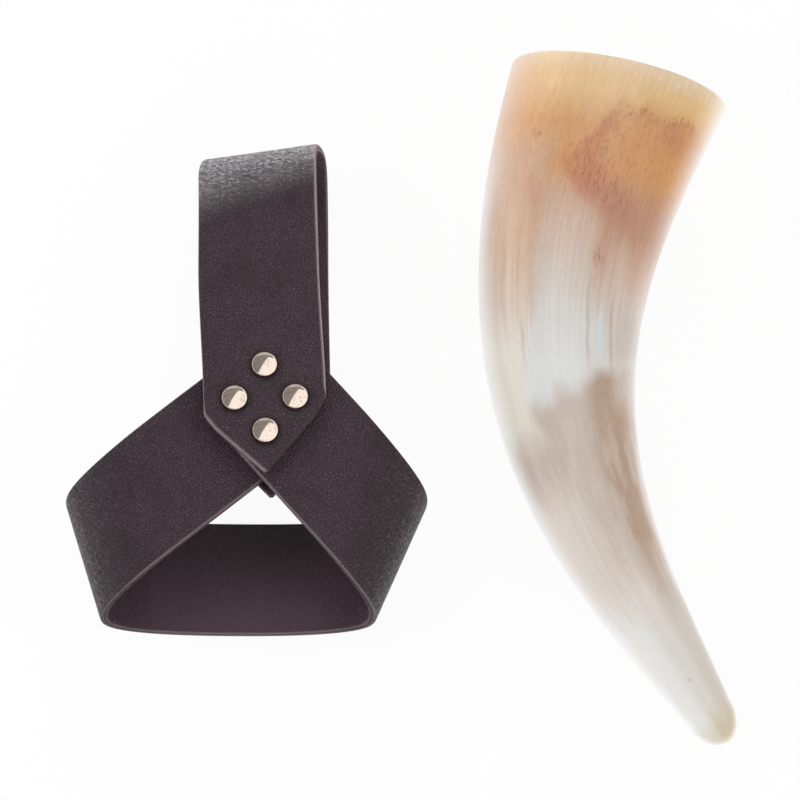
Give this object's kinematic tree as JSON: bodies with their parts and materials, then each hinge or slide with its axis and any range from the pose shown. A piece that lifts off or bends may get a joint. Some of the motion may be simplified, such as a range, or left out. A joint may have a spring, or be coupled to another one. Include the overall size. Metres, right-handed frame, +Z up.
{
  "type": "drinking horn with belt holder",
  "caption": "Natural drinking horn, curved and hollow with a plain sawn mouth, lying beside its riveted leather belt holder with a belt loop and a slanted ring.",
  "frame": {"origin": "middle of the footprint, on the table that the set lies on", "axes": "+Z up from the table, +X to the right, +Y towards the horn's mouth and the belt loop's fold"},
  "size_m": [0.2086, 0.2128, 0.0648],
  "materials": {
    "horn": "polished natural horn",
    "leather": "dark brown grain, raw cut edges",
    "rivet": "polished nickel plate"
  },
  "bodies": {
    "holder": {"belt_strap": "leather", "ring_strap": "leather", "rivet_cap_top": "rivet", "rivet_cap_left": "rivet", "rivet_cap_right": "rivet", "rivet_cap_bottom": "rivet", "rivet_post_top": "rivet", "rivet_post_left": "rivet", "rivet_post_right": "rivet", "rivet_post_bottom": "rivet"},
    "horn": {"horn_body": "horn"}
  },
  "joints": [
    {"name": "horn_lift", "type": "slide", "parent": "holder", "child": "horn", "axis": [0, 0, 1], "range_m": [0, 0.25]}
  ]
}
